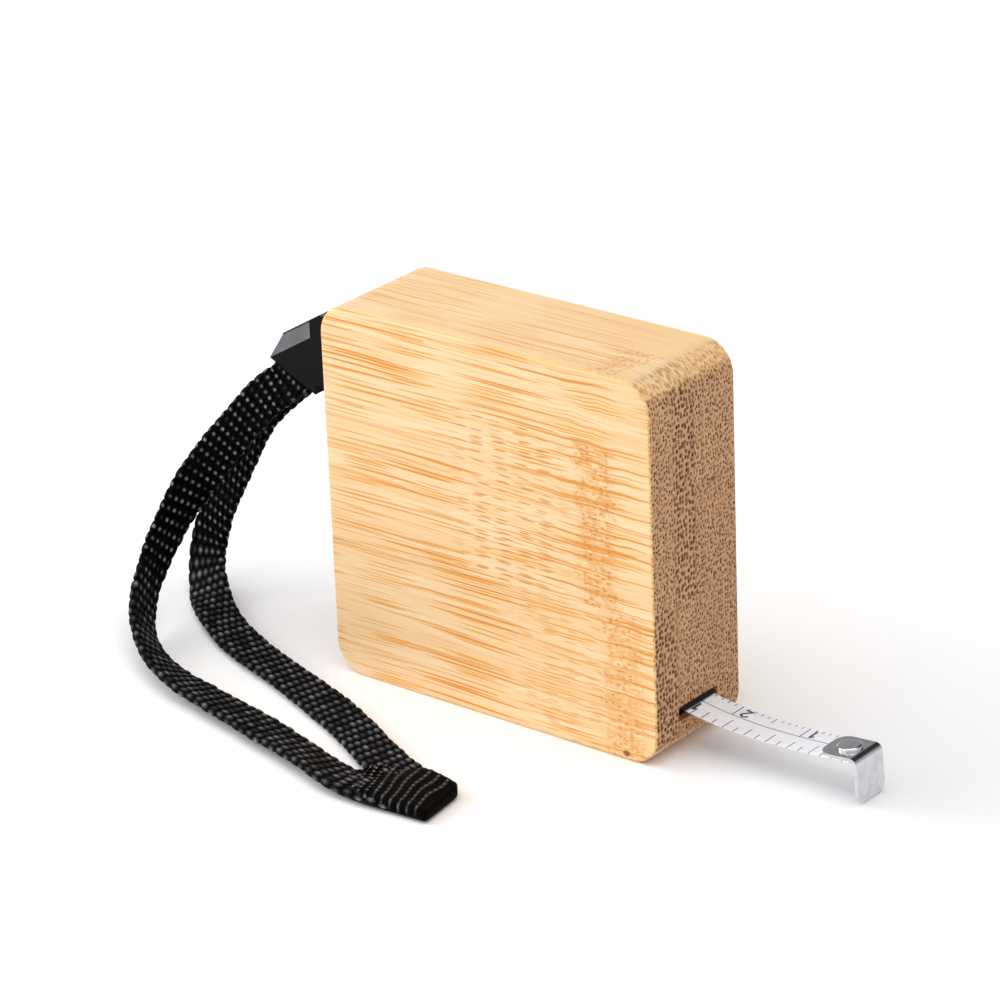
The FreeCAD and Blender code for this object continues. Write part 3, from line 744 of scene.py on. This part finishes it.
def strap_strip(name, line, lay, material, seed, first_relief=0.3, relief_run=4 * mm, last_width=0.8):
    """A woven strip along a line. lay holds the way its width points at shares of its length.
    The weave has first_relief of its depth at the start and all of it after relief_run, and the strip
    narrows to last_width of its width at the end."""
    middle_height = 0.42
    narrowing_run = 9 * mm
    hanging, lying_low = 8 * mm, 3 * mm
    centres, at = even_line(line, weave_row / samples_per_row)
    tangents = unit_rows(np.gradient(centres, axis=0))
    shares = [share for share, way in lay]
    wanted = np.column_stack([np.interp(at / at[-1], shares, [way[axis] for share, way in lay])
                              for axis in range(3)])
    widths = unit_rows(wanted - (wanted * tangents).sum(axis=1, keepdims=True) * tangents)
    outward = np.cross(tangents, widths)
    places, ways, columns = strap_section()
    sizes = yarn_sizes(seed)
    swell = 1 + 0.015 * np.sin(at / (3.1 * mm)) + 0.01 * np.sin(at / (1.3 * mm))
    swell *= np.interp(at[-1] - at, [0, narrowing_run], [last_width, 1.0])
    relief = weave_relief * np.interp(at, [0, relief_run], [first_relief, 1.0])
    rings, crests = [], []
    for number, centre in enumerate(centres):
        rows = np.full(len(columns), at[number] / weave_row)
        height, crest = weave(columns, rows, sizes)
        lying = smooth_step(-centre[2], -hanging, -lying_low)
        # Where the strip lies on the floor the painted highlight spreads over whole grains as grey
        crest = crest * (1 - 0.6 * lying) + 0.24 * lying * np.clip(height, 0, 1.2) ** 3
        height = relief[number] * (height - middle_height)
        across = places[:, :1] * swell[number] + ways[:, :1] * height[:, None]
        through = places[:, 1:] + ways[:, 1:] * height[:, None]
        rings.append(centre + across * widths[number] + through * outward[number])
        crests.append(crest)
    rise = lifted(np.array([ring[:, 2].min() for ring in rings]), 2 * samples_per_row)
    for ring, step in zip(rings, rise):
        ring[:, 2] += step
    faces = grid_faces(len(at), len(columns))
    made = mesh_object(name, np.concatenate(rings).tolist(), faces, material)
    mark_crests(made, np.concatenate(crests))
    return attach(made, "case"), centres


def build_straps(material):
    front, front_line = strap_strip("strap_front_woven", spline_line("front_route", front_route),
                                    front_lay, material, 11)
    back, back_line = strap_strip("strap_back_woven", spline_line("back_route", back_route),
                                  back_lay, material, 12)
    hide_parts("strap_front")
    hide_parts("strap_back")
    build_fold(material)
    tail = build_tail(material)


def build_fold(material):
    """The stretch of strap round the pin inside the lug."""
    depth = 1.0 * mm
    steps = 24
    middle = (Vector(front_route[0]) + Vector(back_route[0])) / 2
    inward = -slot_out
    sideways = Vector((0, strap_exit_spread, 0))
    line = [middle - sideways, middle - sideways + inward * depth * 0.5]
    for step in range(steps + 1):
        turn = math.pi * step / steps
        line.append(middle + inward * (depth + strap_exit_spread * math.sin(turn))
                    - sideways * math.cos(turn))
    line += [middle + sideways + inward * depth * 0.5, middle + sideways]
    lay = ((0.0, tuple(slot_along)), (1.0, tuple(slot_along)))
    fold = strap_strip("strap_fold_woven", np.array([tuple(point) for point in line]), lay, material, 13,
                       first_relief=0.2, relief_run=1.0, last_width=1.0)[0]
    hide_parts("strap_fold")


def edge_point(edge, share):
    """The point of an edge at a share of its length."""
    shares = [row[0] for row in edge]
    return np.array([np.interp(share, shares, [row[axis] for row in edge]) for axis in (1, 2)])


def weld_pattern(share, parts, width, sizes):
    """Height and crest across the fused end: the strap's weave, which turns into ribs and then stops. The
    crest is the strength of a painted highlight.
    """
    rows_in_all = 11.4
    rib_half, crest_half = 0.26, 0.17
    columns = parts * width / (weave_circumference / weave_columns / mm)
    rows = share * rows_in_all + 0.16 * np.sin(parts * 9.0 + share * 5.0) * share
    height, crest = weave(columns, rows + 20, sizes)
    from_rib = (rows - np.round(rows)) * weave_row / mm
    ragged = 0.6 + 0.4 * np.sin(columns * 3.1 + np.round(rows) * 1.7)
    rib = np.exp(-(from_rib / rib_half) ** 2) * ragged
    ribbed = smooth_step(share, 0.3, 0.6)
    height = height * (1 - ribbed) + ribbed * (rib + 0.25 * np.abs(np.sin(columns * math.pi)))
    # Painted highlight along the tops of the ribs
    crest = crest * (1 - ribbed) + ribbed * np.exp(-(from_rib / crest_half) ** 2) * ragged * 0.6
    patterned = 1 - smooth_step(share, 0.9, 0.95)
    return height * patterned, crest * patterned


def build_tail(material):
    """The fused end where both strands meet: their rows fan out into ribs, up to a cut edge."""
    steps_along = 120
    steps_across = 78
    # Its long edges, seen from above: a share of the length, then X and Y in millimetres
    near_edge = ((0.0, -2.2, -36.3), (0.3, 1.8, -36.6), (1.0, 11.3, -35.9))
    far_edge = ((0.0, -2.7, -31.0), (0.2, -2.2, -28.8), (0.4, -0.7, -27.3), (0.7, 4.9, -26.6),
                (0.93, 9.3, -27.3), (1.0, 10.3, -28.5))
    underside = 0.2
    first_top, top_rise, end_drop = 1.5, 0.4, 0.25
    side_rounding, end_rounding = 0.7, 0.04
    pattern_depth = 0.2
    sizes = yarn_sizes(14)
    parts = np.linspace(0, 1, steps_across + 1)
    points, crests = [], []
    for along in range(steps_along + 1):
        share = along / steps_along
        near, far = edge_point(near_edge, share), edge_point(far_edge, share)
        width = np.linalg.norm(far - near)
        height, crest = weld_pattern(share, parts, width, sizes)
        ring_top, ring_bottom = [], []
        for part, raised in zip(parts, height):
            x, y = near + (far - near) * part
            top = first_top + top_rise * smooth_step(x, -1.5 + 3.0 * part, 2.0 + 3.0 * part)
            top -= end_drop * smooth_step(share, 0.8, 1.0)
            side = min(1.0, min(part, 1 - part) * width / side_rounding)
            body = (top - underside) * (0.3 + 0.7 * rounded(side))
            body *= 0.55 + 0.45 * rounded(min(1.0, (1 - share) / end_rounding))
            middle = (top + underside) / 2
            ring_top.append((x * mm, y * mm, (middle + body / 2 + pattern_depth * raised * side) * mm))
            ring_bottom.append((x * mm, y * mm, (middle - body / 2) * mm))
        points += ring_top + ring_bottom[::-1][1:-1]
        crests += list(crest) + [0.0] * (steps_across - 1)
    faces = grid_faces(steps_along + 1, 2 * steps_across)
    tail = mesh_object("strap_weld_woven", points, faces, material)
    mark_crests(tail, np.array(crests))
    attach(tail, "case")
    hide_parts("strap_weld")
    return tail


def surface_height(node, x, y, up):
    """The height of a CAD node's upper or lower surface over a point."""
    start = Vector((x, y, 0.1 if up else -0.1))
    hit, place = nodes[node].ray_cast(start, Vector((0, 0, -1 if up else 1)))[:2]
    return place.z if hit else None


def build_blade(material):
    """The blade as a finely divided strip, in place of the CAD blade."""
    step = 0.4 * mm
    inset = 0.02 * mm
    clear_of_rivet = blade_low.y + 0.2 * mm
    rim = 0.06 * mm
    rim_thickness = 0.35
    first_column = 0.6 * mm
    count = round((blade_high.x - blade_low.x) / step)
    stations = np.linspace(blade_low.x + inset, blade_high.x - inset, count)
    across = [blade_low.y, blade_low.y + rim]
    across += list(np.linspace(blade_low.y + first_column, blade_high.y - first_column, 7))
    across += [blade_high.y - rim, blade_high.y]
    points = []
    for x in stations:
        top = surface_height("blade", x, clear_of_rivet, True)
        bottom = surface_height("blade", x, clear_of_rivet, False)
        middle = (top + bottom) / 2
        for surface, order in ((top, across), (bottom, across[::-1])):
            for y in order:
                thickness = rim_thickness if y in (across[0], across[-1]) else 1.0
                points.append((x, y, middle + (surface - middle) * thickness))
    faces = grid_faces(len(stations), 2 * len(across))
    strip = mesh_object("blade_strip", points, faces, material, False)
    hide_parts("blade")

    # Known fault: the stretch starts at the reel, so a pulled-out strip leaves the block above its slot
    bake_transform(strip)


def soften_edges(name, width, segments=2):
    """Rounds a CAD node's sharp edges a little, as on a real moulding or stamping."""
    bevel = nodes[name].modifiers.new("edges", "BEVEL")
    bevel.width = width
    bevel.segments = segments
    bevel.limit_method = "ANGLE"
    bevel.angle_limit = math.radians(35)


# ---- studio ----

def build_floor():
    half = 3.0
    corners = [(-half, -half, 0), (half, -half, 0), (half, half, 0), (-half, half, 0)]
    paper = Material("floor_paper", Base_Color=shade(251, 251, 252), Roughness=0.9)
    floor = mesh_object("studio_floor", corners, [(0, 1, 2, 3)], paper, False)


def area_light(name, place, target, size, power):
    light = bpy.data.lights.new(name, "AREA")
    light.shape = "DISK"
    light.size = size
    light.energy = power
    made = bpy.data.objects.new(name, light)
    made.location = place
    made.rotation_mode = "QUATERNION"
    made.rotation_quaternion = (Vector(target) - Vector(place)).to_track_quat("-Z", "Y")
    bpy.context.scene.collection.objects.link(made)


def build_world():
    """A pale room with one darker corner behind, which gives the steel something to reflect."""
    world = bpy.data.worlds.new("studio")
    bpy.context.scene.world = world
    world.use_nodes = True
    tree = world.node_tree
    background = tree.nodes["Background"]
    direction = tree.nodes.new("ShaderNodeTexCoord")
    dot = tree.nodes.new("ShaderNodeVectorMath")
    dot.operation = "DOT_PRODUCT"
    dot.inputs[1].default_value = Vector((-0.05, 0.71, 0.70)).normalized()
    tree.links.new(direction.outputs["Generated"], dot.inputs[0])
    ramp = tree.nodes.new("ShaderNodeValToRGB")
    ramp.color_ramp.interpolation = "EASE"
    ramp.color_ramp.elements[0].position = 0.5
    ramp.color_ramp.elements[0].color = (1, 1, 1, 1)
    ramp.color_ramp.elements[1].position = 0.93
    ramp.color_ramp.elements[1].color = (0.03, 0.03, 0.035, 1)
    for position, level in ((0.7, 0.72), (0.82, 0.42), (0.89, 0.3)):
        step = ramp.color_ramp.elements.new(position)
        step.color = (level, level, level, 1)
    tree.links.new(dot.outputs["Value"], ramp.inputs[0])
    tree.links.new(ramp.outputs[0], background.inputs["Color"])
    background.inputs["Strength"].default_value = 0.8


def build_camera():
    azimuth = math.radians(39.393)
    elevation = math.radians(23.457)
    roll = math.radians(-2.302)
    distance = 0.55765
    sideways = -0.00368
    upwards = 0.001296
    back = Vector((math.sin(azimuth) * math.cos(elevation), -math.cos(azimuth) * math.cos(elevation),
                   math.sin(elevation)))
    level_right = Vector((math.cos(azimuth), math.sin(azimuth), 0))
    level_up = back.cross(level_right)
    right = math.cos(roll) * level_right + math.sin(roll) * level_up
    up = -math.sin(roll) * level_right + math.cos(roll) * level_up
    centre = Vector((0, 0, (case_low.z + case_high.z) / 2))
    lens = bpy.data.cameras.new("camera")
    lens.lens = 161.69
    lens.sensor_width = 36
    lens.clip_start = 0.01
    lens.clip_end = 20
    camera = bpy.data.objects.new("camera", lens)
    turn = Matrix((right, up, back)).transposed()
    place = centre + right * sideways + up * upwards + back * distance
    camera.matrix_world = Matrix.Translation(place) @ turn.to_4x4()
    bpy.context.scene.collection.objects.link(camera)
    bpy.context.scene.camera = camera


def build_studio():
    build_floor()
    build_world()
    build_camera()
    area_light("overhead", (0.08, -0.02, 0.9), (0, 0, 0), size=1.0, power=3.6)
    area_light("front_left", (-0.5, -0.75, 0.35), (0, 0, 0.02), size=1.2, power=2.1)
    area_light("left", (-0.66, -0.17, 0.28), (-0.035, 0, 0.04), size=0.5, power=2.6)
    bpy.context.scene.view_settings.view_transform = "Standard"


def main():
    build_straps(webbing())
    put_on(bamboo(), "front_shell", "rear_shell")
    put_on(moulded("dowel_beech", shade(206, 160, 104), 0.7, grain=2.0), "shell_dowels")
    put_on(moulded("housing_black", shade(18, 18, 20), 0.45, gloss=0.3), "housing_body", "housing_cover")
    put_on(moulded("reel_white", shade(214, 214, 210), 0.45), "reel_drum", "reel_cover")
    # The lug's upward faces get a painted highlight in light grey
    put_on(moulded("lug_black", shade(7, 8, 10), 0.4, grain=4.0, gloss=0.07,
                   painted_top_highlight=shade(102, 103, 107)), "strap_lug")
    put_on(metal("hook_brushed", (0.70, 0.70, 0.73), 0.19, (0.5, 6.0, 0.5), "blade"),
           "end_hook", "hook_rivet")
    put_on(metal("spring_blued", (0.34, 0.35, 0.4), 0.3, (1.0, 6.0, 1.0)), "power_spring")
    put_on(metal("screw_zinc", (0.62, 0.62, 0.6), 0.35, (3.0, 1.0, 3.0)),
           "housing_screws", "centre_screw", "lug_pin")
    put_on(metal("post_brass", (0.75, 0.55, 0.25), 0.3, (1.0, 5.0, 1.0)), "centre_post")
    put_on(blade_paint("wound_enamel", None), "wound_blade")
    build_blade(blade_paint("blade_enamel", "blade"))
    soften_edges("strap_lug", 0.28 * mm, 3)
    soften_edges("end_hook", 0.05 * mm)
    build_studio()


main()
